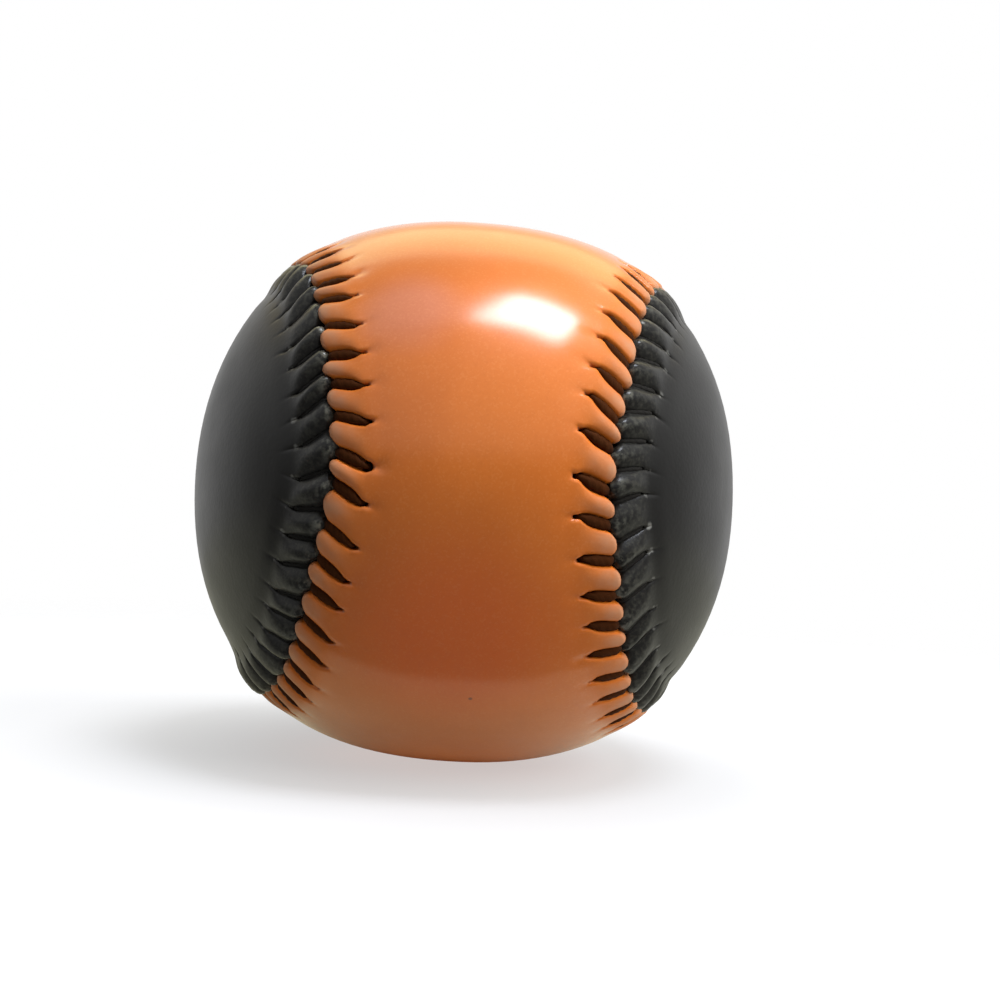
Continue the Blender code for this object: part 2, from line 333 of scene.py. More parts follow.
def stitch_grid(sewing, phase, rows):
    """Station, offset and outer radius of the stitch row on a grid of rows by columns. Rows from the
    shoulder come first, then the quarter round over each tongue's tip. Columns follow the grooves' almond
    outline. The radius is the swell plus ridge and puff, less valley, pucker and the groove's own depth."""
    stitch = stitch_of_column()
    following = (stitch + 1) % STITCHES
    wraps = np.where(following < stitch, STITCHES * PITCH, 0.0)
    in_groove = column_values(np.ones(len(GROOVE_COLUMNS), bool), np.zeros(len(TONGUE_COLUMNS), bool))
    groove_share = column_values(GROOVE_COLUMNS, np.ones(len(TONGUE_COLUMNS)))
    tongue_share = column_values(np.zeros(len(GROOVE_COLUMNS)), TONGUE_COLUMNS)
    tongue_side = np.abs(2 * tongue_share - 1)
    tongue_side[in_groove] = 1

    lip_setback = sewing["lip_setback"]
    setback = np.where(
        in_groove,
        lip_setback + (FLOOR_SETBACK - lip_setback) * (1 - groove_share**2),
        lip_setback * tongue_side ** sewing["bluntness"] + sewing["tip"][stitch] * (1 - tongue_side),
    )
    body_rows = np.asarray(rows)[:, None]
    body_offset = body_rows + setback * (1 - rise(body_rows, SETBACK_REACH))
    round_reach = sewing["tip_round"] * (1 - TIP_NARROWING * setback / FLOOR_SETBACK)
    tip_offset = sewing["tip_gap"] + setback + round_reach * (1 - np.cos(TIP_ANGLES))[:, None]
    offset = np.concatenate([body_offset, tip_offset])

    width = groove_half_width(sewing, stitch, offset)
    line = groove_line(sewing, stitch, phase, offset)
    next_width = groove_half_width(sewing, following, offset)
    next_line = groove_line(sewing, following, phase, offset) + wraps
    on_tongue = (1 - tongue_share) * (line + width) + tongue_share * (next_line - next_width)
    shaped = np.interp(np.abs(groove_share), GROOVE_COLUMNS[MIDDLE_COLUMN:], sewing["groove_shape"])
    at_hole = rise(offset, HOLE_SHAPE_START)
    across = groove_share * at_hole + shaped * np.sign(groove_share) * (1 - at_hole)
    station = np.where(in_groove, line + across * width, on_tongue) / PITCH

    fullness = sewing["puff_height"] * (1 - rise(offset, PUFF_REACH))
    ridge = sewing["ridge"] * (1 - rise(offset, RIDGE_REACH))
    valley = sewing["valley"] * np.exp(-(((offset - GROOVE_END) / VALLEY_WIDTH) ** 2))
    valley *= 1 - rise(offset, VALLEY_FADE)
    from_proud = (np.mod(station - PROUD_STITCH + STITCHES / 2, STITCHES) - STITCHES / 2) / PROUD_STITCHES
    proud = sewing["proud"] * (1 - rise(offset, PROUD_REACH)) * np.exp(-(from_proud**2))
    lip = cover_radius(sewing, offset) + ridge - valley + proud - fullness
    depth = (lip - sewing["floor"]) * (1 - rise(offset, (HOLE_ROWS[-1], GROOVE_END)))
    pucker = PUCKER_DEPTH * (1 + sewing["pucker"][stitch])
    pucker = pucker * rise(offset, PUCKER_START) * (1 - rise(offset, PUCKER_END))
    lip_share = np.abs(groove_share) ** sewing["groove_wall"]
    puff = fullness * (1 + sewing["puff"][stitch]) * (1 - tongue_side ** sewing["puff_flatness"])
    radius = np.where(
        in_groove,
        lip - depth * (1 - lip_share) - pucker * np.exp(-((groove_share / PUCKER_WIDTH) ** 2)),
        lip + puff - pucker * np.exp(-((1 / PUCKER_WIDTH) ** 2)) * tongue_side**4,
    )
    tip_round = sewing["tip_round"]
    drop = np.where(in_groove, FLOOR_ROUND + (tip_round - FLOOR_ROUND) * lip_share, tip_round)
    radius[len(body_rows):] -= drop * (1 - np.sin(TIP_ANGLES))[:, None]
    return station, offset, radius


def grid_faces(ids):
    """Quads between neighbouring rows of a grid whose columns close on themselves."""
    following = np.roll(ids, -1, axis=1)
    return np.stack([ids[:-1], following[:-1], following[1:], ids[1:]], axis=-1)


def whole_faces(quads):
    """Lists of corners: quads as they are, and those with a doubled corner, as at a pole, as triangles."""
    doubled = quads == np.roll(quads, -1, axis=1)
    count = doubled.sum(axis=1)
    triangles = quads[count == 1][~doubled[count == 1]].reshape(-1, 3)
    return quads[count == 0].tolist() + triangles.tolist()


def new_piece(name, points, quads, marks=None):
    """A mesh object from arrays: unused points dropped, faces turned outwards by the sign of the volume,
    and the marks that its finish reads stored on its points."""
    used, quads = np.unique(quads, return_inverse=True)
    quads = quads.reshape(-1, 4)
    points = points[used]
    a, b, c, d = (points[quads[:, k]] for k in range(4))
    volume = (a * np.cross(b, c)).sum() + (a * np.cross(c, d)).sum()
    if volume < 0:
        quads = quads[:, ::-1]
    mesh = bpy.data.meshes.new(name)
    mesh.from_pydata((points * MM).tolist(), [], whole_faces(quads))
    for label, values in (marks or {}).items():
        layer = mesh.attributes.new(label, "FLOAT", "POINT")
        layer.data.foreach_set("value", values.reshape(-1)[used].astype(np.float32))
    mesh.validate()
    mesh.shade_smooth()
    piece = bpy.data.objects.new(name, mesh)
    bpy.context.scene.collection.objects.link(piece)
    return piece


def folded_grid(rows, columns, phase=0.0):
    """Point numbers of a grid whose first and last rows lie on the middle line of a panel, where each
    column meets the opposite one and shares its point."""
    ids = np.arange(rows * columns).reshape(rows, columns)
    column = np.arange(columns)
    opposite = np.mod(round(2 * (QUARTER - phase) * columns / STITCHES) - column, columns)
    ids[0] = np.minimum(column, opposite)
    ids[-1] = ids[-1, 0] + ids[0]
    return ids


def pinched_grid(rows, columns):
    """Point numbers of a grid whose first and last rows are each drawn in to one point."""
    ids = np.arange(rows * columns).reshape(rows, columns)
    ids[0] = ids[0, 0]
    ids[-1] = ids[-1, 0]
    return ids


def cover_panel(name, sewing, phase, black):
    """One cover panel as a closed skin: a grid from the middle line out over the stitch row, round the tips
    and back along the underside, with the needle holes cut through and walled."""
    columns = STITCHES * COLUMNS
    station, offset, radius = stitch_grid(sewing, phase, STITCH_ROWS)
    outer_direction = direction_at(station, offset)
    outer_points = outer_direction * (radius + hand_dents(outer_direction))[..., None]
    inner_direction, *inner_distances = inner_rows(station[0], SHOULDER, INNER_SHARES)
    inner_radius = panel_radius(sewing, *inner_distances) + hand_dents(inner_direction)
    inner_points = inner_direction * inner_radius[..., None]
    under_direction, *under_distances = inner_rows(station[0], SHOULDER, UNDER_SHARES)

    under_station, under_offset, _ = stitch_grid(sewing, phase, UNDER_ROWS)
    under_station, under_offset = under_station[: len(UNDER_ROWS)], under_offset[: len(UNDER_ROWS)]
    under_shoulder = cover_radius(sewing, SHOULDER) - COVER_THICKNESS
    under_rise = rise(under_offset, UNDERSIDE_RISE)
    under_radius = UNDERSIDE_RADIUS + (under_shoulder - UNDERSIDE_RADIUS) * under_rise
    edge_points = direction_at(station[-1], offset[-1])[None] * UNDERSIDE_RADIUS
    under_points = direction_at(under_station, under_offset) * under_radius[..., None]
    under_inner = under_direction * (panel_radius(sewing, *under_distances) - COVER_THICKNESS)[..., None]

    points = np.concatenate([inner_points, outer_points, edge_points, under_points, under_inner])
    ids = folded_grid(len(points), columns, phase)
    quads = grid_faces(ids)

    first_outer = len(INNER_SHARES)
    hole_top = first_outer + np.array([STITCH_ROWS.index(row) for row in HOLE_ROWS])
    first_under = first_outer + len(STITCH_ROWS) + len(TIP_ANGLES) + 1
    hole_bottom = first_under + np.array([UNDER_ROWS.index(row) for row in HOLE_ROWS])
    keep = np.ones(quads.shape[:2], bool)
    hole_columns = np.arange(-HOLE_HALF_COLUMNS, HOLE_HALF_COLUMNS)
    cut = np.mod(np.arange(STITCHES)[:, None] * COLUMNS + hole_columns, columns).ravel()
    keep[hole_top.min():hole_top.max(), cut] = False
    keep[hole_bottom.min():hole_bottom.max(), cut] = False
    walls = hole_walls(ids, hole_top, hole_bottom, columns)
    quads = np.concatenate([quads[keep], walls])

    stitch_rows = slice(first_outer, first_outer + len(offset))
    marks = {label: np.zeros(ids.shape) for label in ("groove", "crest", "worn", "rim", "dulled")}
    for label, values in stitch_marks(offset).items():
        marks[label][stitch_rows] = values
    marks["groove"][stitch_rows.stop:] = 1
    points = points.reshape(-1, 3)
    return new_piece(name, to_black_side(points) if black else points, quads, marks)


def stitch_marks(offset):
    """What the finishes read on the stitch row, each from 0 to 1 and fading with the offset: the grooves,
    where shade and light are painted, the crests of the tongues, partly painted light on the orange film,
    their worn tips, also painted glints on the black film, the holes' rims, where glints are painted, and
    the dulled film."""
    tongue_edge = np.abs(2 * TONGUE_COLUMNS - 1) ** 2
    in_groove = column_values(1 - np.abs(GROOVE_COLUMNS) ** 2, np.zeros(len(TONGUE_COLUMNS)))
    on_tongue = column_values(np.zeros(len(GROOVE_COLUMNS)), 1 - tongue_edge)
    at_hole = column_values(np.ones(len(GROOVE_COLUMNS)), tongue_edge)
    return {
        "groove": in_groove * (1 - rise(offset, GROOVE_MARK_END)),
        "crest": on_tongue**0.5 * (1 - rise(offset, CREST_REACH)),
        "worn": on_tongue * (1 - rise(offset, WEAR_REACH)),
        "rim": at_hole * np.exp(-(((offset - RIM_OFFSET) / RIM_WIDTH) ** 2)),
        "dulled": 1 - rise(offset, DULLED_REACH),
    }


def hole_walls(ids, top, bottom, columns):
    """Quads between the rim of each hole on the outside and its rim on the underside: the rim's loop of
    rows and columns, walked once round, with each point joined to the next and to the one below."""
    across = np.arange(-HOLE_HALF_COLUMNS, HOLE_HALF_COLUMNS + 1)
    wide, last = len(across) - 1, len(top) - 1
    loop_rows = np.concatenate(
        [np.zeros(wide, int), np.arange(last), np.full(wide, last), np.arange(last, 0, -1)]
    )
    loop_columns = np.concatenate(
        [across[:-1], np.full(last, across[-1]), across[:0:-1], np.full(last, across[0])]
    )
    place = np.mod(np.arange(STITCHES)[:, None] * COLUMNS + loop_columns, columns)
    rim = ids[top[loop_rows], place]
    under = ids[bottom[loop_rows], place]
    walls = np.stack([rim, under, np.roll(under, -1, axis=1), np.roll(rim, -1, axis=1)], axis=-1)
    return walls.reshape(-1, 4)


def foam_lining(name, row, black):
    """Foam sheet behind a panel: a grid of rings from the middle line out to the pared edge and back."""
    columns = LINING_COLUMNS * STITCHES
    station = np.arange(columns) / LINING_COLUMNS
    thin, full = LINING_SKIVE
    direction, *distances = inner_rows(station, full, LINING_SHARES)
    outer = direction * (panel_radius(row, *distances) - COVER_THICKNESS - CEMENT_GAP)[..., None]
    inner = direction[::-1] * LINING_INNER_RADIUS
    skive = np.linspace(full, thin, LINING_SKIVE_ROWS)
    edge_offset = np.concatenate([skive, np.linspace(thin, LINING_EDGE, LINING_EDGE_ROWS)[1:]])[:, None]
    padded_radius = cover_radius(row, full) - COVER_THICKNESS - CEMENT_GAP
    edge_rise = rise(edge_offset, LINING_SKIVE)
    edge_radius = LINING_EDGE_RADIUS + (padded_radius - LINING_EDGE_RADIUS) * edge_rise
    edge_station = np.broadcast_to(station, (len(edge_offset), columns))
    edge_direction = direction_at(edge_station, edge_offset + 0 * station)
    over = edge_direction * edge_radius[..., None]
    back = edge_direction[::-1] * LINING_INNER_RADIUS
    points = np.concatenate([outer, over, back, inner])
    quads = grid_faces(folded_grid(len(points), columns)).reshape(-1, 4)
    points = points.reshape(-1, 3)
    return new_piece(name, to_black_side(points) if black else points, quads)


def sponge_core(name):
    """Moulded sponge ball: a sphere of rings with a thin raised line where the two mould halves met."""
    latitude = np.linspace(-np.pi / 2, np.pi / 2, CORE_RINGS)[:, None]
    longitude = np.linspace(0, 2 * np.pi, CORE_COLUMNS, endpoint=False)
    flash = FLASH_HEIGHT * np.exp(-((latitude * CORE_RADIUS / FLASH_WIDTH) ** 2))
    radius = CORE_RADIUS - FLASH_ROOM + flash
    points = np.stack(
        [
            radius * np.cos(latitude) * np.cos(longitude),
            radius * np.cos(latitude) * np.sin(longitude),
            radius * np.sin(latitude) + 0 * longitude,
        ],
        axis=-1,
    )
    quads = grid_faces(pinched_grid(CORE_RINGS, CORE_COLUMNS)).reshape(-1, 4)
    return new_piece(name, points.reshape(-1, 3), quads)


def corner_cut(path, rounds):
    """Rounds a path by cutting every corner at a quarter and three quarters of each side."""
    for _ in range(rounds):
        near = 0.75 * path[:-1] + 0.25 * path[1:]
        far = 0.25 * path[:-1] + 0.75 * path[1:]
        cut = np.stack([near, far], axis=1).reshape(-1, path.shape[1])
        path = np.concatenate([path[:1], cut, path[-1:]])
    return path


def lacing_path(orange_sewing, black_sewing):
    """Station, signed offset and radius of the thread: up a hole, along the groove, down at the seam, under
    the other panel to its next hole half a stitch on, and so round the ball."""
    count = np.arange(2 * STITCHES)
    hole = -count / 2
    side = np.where(count % 2 == 0, 1.0, -1.0)
    orange_stitch = np.mod(np.round(hole), STITCHES).astype(int)
    black_stitch = np.mod(np.round(hole - QUARTER - BLACK_PHASE), STITCHES).astype(int)

    def place(offset):
        """Station of the thread at an offset: its hole's own, moved as that groove slants and strays."""
        orange = groove_line(orange_sewing, orange_stitch, ORANGE_PHASE, offset)
        orange -= (orange_stitch + ORANGE_PHASE) * PITCH
        black = groove_line(black_sewing, black_stitch, BLACK_PHASE, offset)
        black -= (black_stitch + BLACK_PHASE) * PITCH
        return hole + np.where(side > 0, orange, black) / PITCH

    middle = 0.5 * (HOLE_MIDDLE + THREAD_DIVE)
    top = np.where(side > 0, orange_sewing["thread_top"], black_sewing["thread_top"])
    steps = [
        (HOLE_MIDDLE, THREAD_UNDER),
        (HOLE_MIDDLE, top),
        (HOLE_MIDDLE - THREAD_BEND, top),
        (middle, top),
        (THREAD_DIVE, top),
        (THREAD_DIVE, THREAD_UNDER),
    ]
    strokes = [
        np.stack([place(offset), side * offset, 0 * hole + radius], axis=-1) for offset, radius in steps
    ]
    points = np.stack(strokes, axis=1).reshape(-1, 3)
    start = np.array([[0.0, THREAD_TAIL, THREAD_UNDER]])
    end = np.array([[-float(STITCHES), HOLE_MIDDLE / 2, THREAD_UNDER]])
    return np.concatenate([start, points, end])


def stitching_thread(name, orange_sewing, black_sewing):
    """Waxed thread: a three-lobed section, for its three plies, turned steadily along the lacing path.
    Rings are close where the thread shows and wide where it runs under the cover."""
    path = corner_cut(lacing_path(orange_sewing, black_sewing), THREAD_ROUNDING)
    centre = direction_at(path[:, 0], path[:, 1]) * path[:, 2:]
    steps = np.linalg.norm(np.diff(centre, axis=0), axis=1)
    length = np.concatenate([[0], np.cumsum(steps)])
    shows = HIDDEN_RING_SHARE + (1 - HIDDEN_RING_SHARE) * rise(path[:, 2], THREAD_RISE)
    weighted = np.concatenate([[0], np.cumsum(steps * 0.5 * (shows[1:] + shows[:-1]))])
    at = np.linspace(0, weighted[-1], THREAD_RINGS)
    along = np.interp(at, weighted, length)
    centre = np.stack([np.interp(along, length, centre[:, k]) for k in range(3)], axis=1)
    station, offset, radius = (np.interp(along, length, path[:, k]) for k in range(3))
    tangent = np.gradient(centre, along, axis=0)
    tangent /= np.linalg.norm(tangent, axis=1, keepdims=True)
    _, forward, _ = seam_frame(station)
    first = forward - tangent * (forward * tangent).sum(axis=1, keepdims=True)
    first /= np.linalg.norm(first, axis=1, keepdims=True)
    second = np.cross(tangent, first)
    around = np.linspace(0, 2 * np.pi, THREAD_SIDES, endpoint=False)
    ply = 2 * np.pi * along[:, None] / PLY_TURN
    reach = THREAD_RADIUS * (1 - PLY_DEPTH + PLY_DEPTH * np.cos(PLIES * (around - ply)))
    in_hole = rise(np.abs(offset), PINCHED_FROM)
    under_black = BLACK_SIDE_SQUEEZE * ease(-offset)
    reach *= 1 - THREAD_SQUEEZE * np.maximum(in_hole, under_black)[:, None]
    reach[[0, -1]] = THREAD_TIP
    in_groove = rise(offset, FLAT_FROM) * (1 - rise(offset, FLAT_UNTIL)) * rise(radius, THREAD_RISE)
    spread = 1 + THREAD_FLATNESS * in_groove[:, None]
    points = (
        centre[:, None]
        + first[:, None] * (spread * reach * np.cos(around))[..., None]
        + second[:, None] * (reach / spread**0.5 * np.sin(around))[..., None]
    )
    marks = {
        "turned": (around - ply) / (2 * np.pi),
        "ran": np.broadcast_to(along[:, None], reach.shape),
        # share of the thread on the orange side, where its painted bounce brown goes
        "orange_side": np.broadcast_to(rise(offset, ORANGE_SIDE_FROM)[:, None], reach.shape),
    }
    quads = grid_faces(pinched_grid(THREAD_RINGS, THREAD_SIDES)).reshape(-1, 4)
    return new_piece(name, points.reshape(-1, 3), quads, marks)


def add(tree, kind, inputs=None, **settings):
    """A new node with its settings and inputs: an input takes a value or another node's output."""
    made = tree.nodes.new(kind)
    for name, value in settings.items():
        setattr(made, name, value)
    for name, value in (inputs or {}).items():
        if isinstance(value, bpy.types.NodeSocket):
            tree.links.new(value, made.inputs[name])
        else:
            made.inputs[name].default_value = value
    return made


def finish_named(name, **sockets):
    """A material with its shader's plain sockets set, and its node tree and shader."""
    made = bpy.data.materials.new(name)
    made.use_nodes = True
    shader = made.node_tree.nodes["Principled BSDF"]
    for socket, value in sockets.items():
        shader.inputs[socket.replace("_", " ").title().replace("Ior", "IOR")].default_value = value
    return made, made.node_tree, shader


def place_in_object(tree):
    """Place on the piece, in its own coordinates."""
    return add(tree, "ShaderNodeTexCoord").outputs["Object"]


def noise(tree, place, size_mm, detail=3.0):
    """Cloudy pattern whose features are about that size."""
    inputs = {"Vector": place, "Scale": 1 / (size_mm * MM), "Detail": detail}
    return add(tree, "ShaderNodeTexNoise", inputs).outputs["Fac"]


def cells(tree, place, size_mm):
    """Scattered cells of that size, for flecks, pores and grain."""
    return add(tree, "ShaderNodeTexVoronoi", {"Vector": place, "Scale": 1 / (size_mm * MM)}).outputs


def between(tree, value, low, high, to_low=0.0, to_high=1.0):
    """Maps a value from one range to another, eased and held at both ends."""
    inputs = {"Value": value, "From Min": low, "From Max": high, "To Min": to_low, "To Max": to_high}
    return add(tree, "ShaderNodeMapRange", inputs, interpolation_type="SMOOTHSTEP").outputs["Result"]


def math_node(tree, operation, first, second):
    """One operation on two values."""
    return add(tree, "ShaderNodeMath", {0: first, 1: second}, operation=operation).outputs["Value"]


def times(tree, first, second):
    """Product of two values."""
    return math_node(tree, "MULTIPLY", first, second)


def vector_node(tree, operation, *inputs, output="Vector"):
    """One operation on vectors, giving a vector or, by that output's name, a value."""
    return add(tree, "ShaderNodeVectorMath", dict(enumerate(inputs)), operation=operation).outputs[output]


def blend_colour(tree, share, first, second):
    """The first colour at a share of 0, the second at 1."""
    inputs = {0: share, 6: first, 7: second}
    return add(tree, "ShaderNodeMix", inputs, data_type="RGBA").outputs[2]


def sewn(tree, name):
    """A value stored on the mesh's points."""
    return add(tree, "ShaderNodeAttribute", attribute_name=name).outputs["Fac"]


def relief(tree, height, depth_mm, strength=1.0, normal=None):
    """Normals bent by a height pattern of that depth, over other normals if given."""
    inputs = {"Height": height, "Distance": depth_mm * MM, "Strength": strength}
    if normal is not None:
        inputs["Normal"] = normal
    return add(tree, "ShaderNodeBump", inputs).outputs["Normal"]


def near_point(tree, place, point, inside_mm, outside_mm):
    """One near a point of the ball, given in millimetres, fading to zero further out."""
    away = vector_node(tree, "DISTANCE", place, Vector(point) * MM, output="Value")
    return between(tree, away, inside_mm * MM, outside_mm * MM, 1.0, 0.0)


def tilted_flecks(tree, colour, tilt):
    """Normals turned a little at random from fleck to fleck, as flakes of pearl lie in a film."""
    centred = vector_node(tree, "SUBTRACT", colour, (0.5, 0.5, 0.5))
    small = vector_node(tree, "MULTIPLY", centred, (tilt, tilt, tilt))
    face = add(tree, "ShaderNodeNewGeometry").outputs["Normal"]
    return vector_node(tree, "NORMALIZE", vector_node(tree, "ADD", face, small))


# Colours of the orange film: its cloudy ground, then its marks, among them painted light and shade: a pink
# reflection beside the highlight, russet shade in the lower middle, light on the tongues' crests and shade
# in the grooves
ORANGE = (0.63, 0.15, 0.011, 1), (0.71, 0.178, 0.016, 1)
REFLECTED_PINK = (0.6, 0.21, 0.13, 1)
SHADED_RUSSET = (0.7, 0.133, 0.012, 1)
PALE_FLECK = (0.95, 0.5, 0.2, 1)
DARK_FLECK = (0.42, 0.09, 0.01, 1)
STRETCHED_AND_LIT_ORANGE = (0.53, 0.275, 0.155, 1)
SPECK_BROWN = (0.2, 0.05, 0.015, 1)
GROOVE_SHADE_BROWN = (0.42, 0.12, 0.03, 1)


def pearl_orange_leather():
    """Glossy orange synthetic leather: a pearl film of fine flecks under a clear coat, paler on the tongues
    of the stitched edge, partly where it is drawn over them and partly by painted light on their crests,
    with painted shade, brown, down in the grooves, a painted pink reflection beside the highlight and
    painted russet shade in the lower middle."""
    made, tree, shader = finish_named(
        "pearl_orange_leather", metallic=0.12, specular_ior_level=0.12, coat_roughness=0.18, coat_ior=1.5
    )
    place = place_in_object(tree)
    flecks = cells(tree, place, 0.2)
    fleck_light = add(tree, "ShaderNodeSeparateColor", {"Color": flecks["Color"]}).outputs["Red"]
    cloud = between(tree, noise(tree, place, 22), 0.35, 0.65)
    colour = blend_colour(tree, cloud, *ORANGE)
    # painted reflection: a pink patch on the film beside the bright highlight
    painted_pink_reflection = near_point(tree, place, PINK_REFLECTION_SPOT, *PINK_REFLECTION_REACH)
    colour = blend_colour(tree, times(tree, painted_pink_reflection, 0.5), colour, REFLECTED_PINK)
    # painted shade: redder, deeper orange in the lower middle
    painted_russet_shade = near_point(tree, place, RUSSET_SHADE_SPOT, *RUSSET_SHADE_REACH)
    colour = blend_colour(tree, painted_russet_shade, colour, SHADED_RUSSET)
    colour = blend_colour(tree, between(tree, fleck_light, 0.7, 1.0, 0.0, 0.05), colour, PALE_FLECK)
    colour = blend_colour(tree, between(tree, fleck_light, 0.3, 0.0, 0.0, 0.055), colour, DARK_FLECK)
    # paler tongues: partly the film drawn over the stitched edge, partly painted light on their crests
    drawn = times(tree, sewn(tree, "crest"), between(tree, noise(tree, place, 1.6), 0.3, 0.7, 0.55, 0.9))
    colour = blend_colour(tree, drawn, colour, STRETCHED_AND_LIT_ORANGE)
    speck = near_point(tree, place, DARK_SPECK, *SPECK_REACH)
    colour = blend_colour(tree, speck, colour, SPECK_BROWN)
    # painted shade: brown down in the grooves
    painted_groove_tone = between(tree, sewn(tree, "groove"), 0.12, 0.5)
    colour = blend_colour(tree, painted_groove_tone, colour, GROOVE_SHADE_BROWN)
    tree.links.new(colour, shader.inputs["Base Color"])
    rough = between(tree, noise(tree, place, 5), 0.3, 0.7, 0.45, 0.54)
    tree.links.new(rough, shader.inputs["Roughness"])
    coat = between(tree, sewn(tree, "dulled"), 0.0, 1.0, 0.95, 0.15)
    tree.links.new(coat, shader.inputs["Coat Weight"])
    flake = tilted_flecks(tree, flecks["Color"], 0.035)
    grain = relief(tree, noise(tree, place, 0.9, 4.0), 0.02, 0.5, flake)
    tree.links.new(grain, shader.inputs["Normal"])
    film = relief(tree, noise(tree, place, 2.4, 2.0), 0.02, 0.35)
    tree.links.new(film, shader.inputs["Coat Normal"])
    return made


# Colours of the black leather: its cloudy ground, then its marks, among them painted glints on the knuckle
# tips and the holes' rims, and painted light in the grooves
BLACK = (0.0105, 0.01, 0.0092, 1), (0.0135, 0.013, 0.012, 1)
SCUFF_GREY = (0.15, 0.147, 0.118, 1)
DUST_GREY = (0.08, 0.076, 0.057, 1)
BARE_AND_GLINT_GREY = (0.15, 0.138, 0.105, 1)
RIM_GLINT_GREY = (0.17, 0.167, 0.15, 1)
GROOVE_LIGHTENED_GREY = (0.14, 0.132, 0.115, 1)


def satin_black_leather():
    """Satin black synthetic leather: fine pebble grain, scuffed grey on the stitched knuckles, with painted
    glints on their tips and at the holes' rims, and painted light that keeps the grooves lighter than the
    leather.
    """
    made, tree, shader = finish_named(
        "satin_black_leather", specular_ior_level=0.15, coat_weight=0.1, coat_roughness=0.2
    )
    place = place_in_object(tree)
    cloud = between(tree, noise(tree, place, 18), 0.3, 0.7)
    colour = blend_colour(tree, cloud, *BLACK)
    rubbed_places = math_node(tree, "MAXIMUM", times(tree, sewn(tree, "crest"), 0.35), sewn(tree, "worn"))
    scuff = times(tree, rubbed_places, between(tree, noise(tree, place, 0.7, 5.0), 0.42, 0.72))
    colour = blend_colour(tree, scuff, colour, SCUFF_GREY)
    settled = between(tree, noise(tree, place, 0.4, 4.0), 0.45, 0.7, 0.0, 0.25)
    dust = times(tree, sewn(tree, "dulled"), settled)
    colour = blend_colour(tree, dust, colour, DUST_GREY)
    # painted glints on the knuckle tips, partly bare worn edges
    bare_and_tip_glint = between(tree, sewn(tree, "worn"), 0.6, 0.9)
    bare_and_tip_glint = times(tree, bare_and_tip_glint, between(tree, noise(tree, place, 0.9, 5.0), 0.55, 0.7))
    colour = blend_colour(tree, bare_and_tip_glint, colour, BARE_AND_GLINT_GREY)
    # painted glints at the holes' rims
    drawn = between(tree, sewn(tree, "rim"), 0.45, 0.9)
    drawn = times(tree, drawn, between(tree, noise(tree, place, 0.8, 1.0), 0.42, 0.66))
    colour = blend_colour(tree, drawn, colour, RIM_GLINT_GREY)
    # painted light: the grooves are made lighter than the leather to offset their shade
    painted_groove_tone = between(tree, sewn(tree, "groove"), 0.2, 0.8)
    colour = blend_colour(tree, painted_groove_tone, colour, GROOVE_LIGHTENED_GREY)
    tree.links.new(colour, shader.inputs["Base Color"])
    rubbed = math_node(tree, "SUBTRACT", 0.44, times(tree, rubbed_places, 0.22))
    rough = math_node(tree, "ADD", rubbed, between(tree, noise(tree, place, 6), 0.3, 0.7, -0.02, 0.02))
    tree.links.new(rough, shader.inputs["Roughness"])
    pebble = cells(tree, place, 0.5)["Distance"]
    grain = relief(tree, pebble, 0.03, 0.3, relief(tree, noise(tree, place, 1.2, 4.0), 0.05, 0.25))
    tree.links.new(grain, shader.inputs["Normal"])
    return made


# Colours of the thread, of the foam and of the sponge: each from dark to light or from fresh to aged; the
# thread's brown is painted bounce light, and the pores' colours are painted shade
WAXED_BLACK = (0.017, 0.016, 0.0145, 1), (0.025, 0.0235, 0.021, 1)
ORANGE_BOUNCE_BROWN = (0.042, 0.013, 0.004, 1), (0.065, 0.02, 0.006, 1)
FOAM = (0.74, 0.7, 0.58, 1), (0.68, 0.61, 0.46, 1)
FOAM_PIT_SHADE = (0.4, 0.36, 0.27, 1)
SPONGE = (0.2, 0.16, 0.12, 1), (0.29, 0.24, 0.19, 1)
SPONGE_PORE_SHADE = (0.05, 0.04, 0.03, 1)


def waxed_black_thread():
    """Black thread under wax: fibres that follow the plies, brown on the orange side as painted bounce
    light from the orange film.
    """
    made, tree, shader = finish_named("waxed_black_thread", specular_ior_level=0.02)
    along = times(tree, sewn(tree, "ran"), 0.35)
    around = times(tree, sewn(tree, "turned"), 26.0)
    fibre_place = add(tree, "ShaderNodeCombineXYZ", {"X": along, "Y": around}).outputs[0]
    pattern = {"Vector": fibre_place, "Scale": 1.0, "Detail": 3.0}
    fibre = add(tree, "ShaderNodeTexNoise", pattern).outputs["Fac"]
    bright = between(tree, fibre, 0.3, 0.75)
    plain = blend_colour(tree, bright, *WAXED_BLACK)
    # painted bounce light: brown on the orange side for light from the orange film
    brown = blend_colour(tree, bright, *ORANGE_BOUNCE_BROWN)
    colour = blend_colour(tree, sewn(tree, "orange_side"), plain, brown)
    tree.links.new(colour, shader.inputs["Base Color"])
    tree.links.new(between(tree, fibre, 0.3, 0.7, 0.42, 0.6), shader.inputs["Roughness"])
    tree.links.new(relief(tree, fibre, 0.05, 0.6), shader.inputs["Normal"])
    return made


def lining_foam():
    """Cut foam sheet: pale cells, a little yellowed, darker in their small pits as painted shade."""
    made, tree, shader = finish_named("lining_foam", roughness=0.92, specular_ior_level=0.2)
    place = place_in_object(tree)
    cell = cells(tree, place, 0.8)["Distance"]
    yellowed = between(tree, noise(tree, place, 12), 0.3, 0.7)
    colour = blend_colour(tree, yellowed, *FOAM)
    # painted shade: darker in the cells' small pits
    colour = blend_colour(tree, between(tree, cell, 0.1, 0.45, 0.45, 0.0), colour, FOAM_PIT_SHADE)
    tree.links.new(colour, shader.inputs["Base Color"])
    tree.links.new(relief(tree, cell, 0.25, 0.8), shader.inputs["Normal"])
    return made


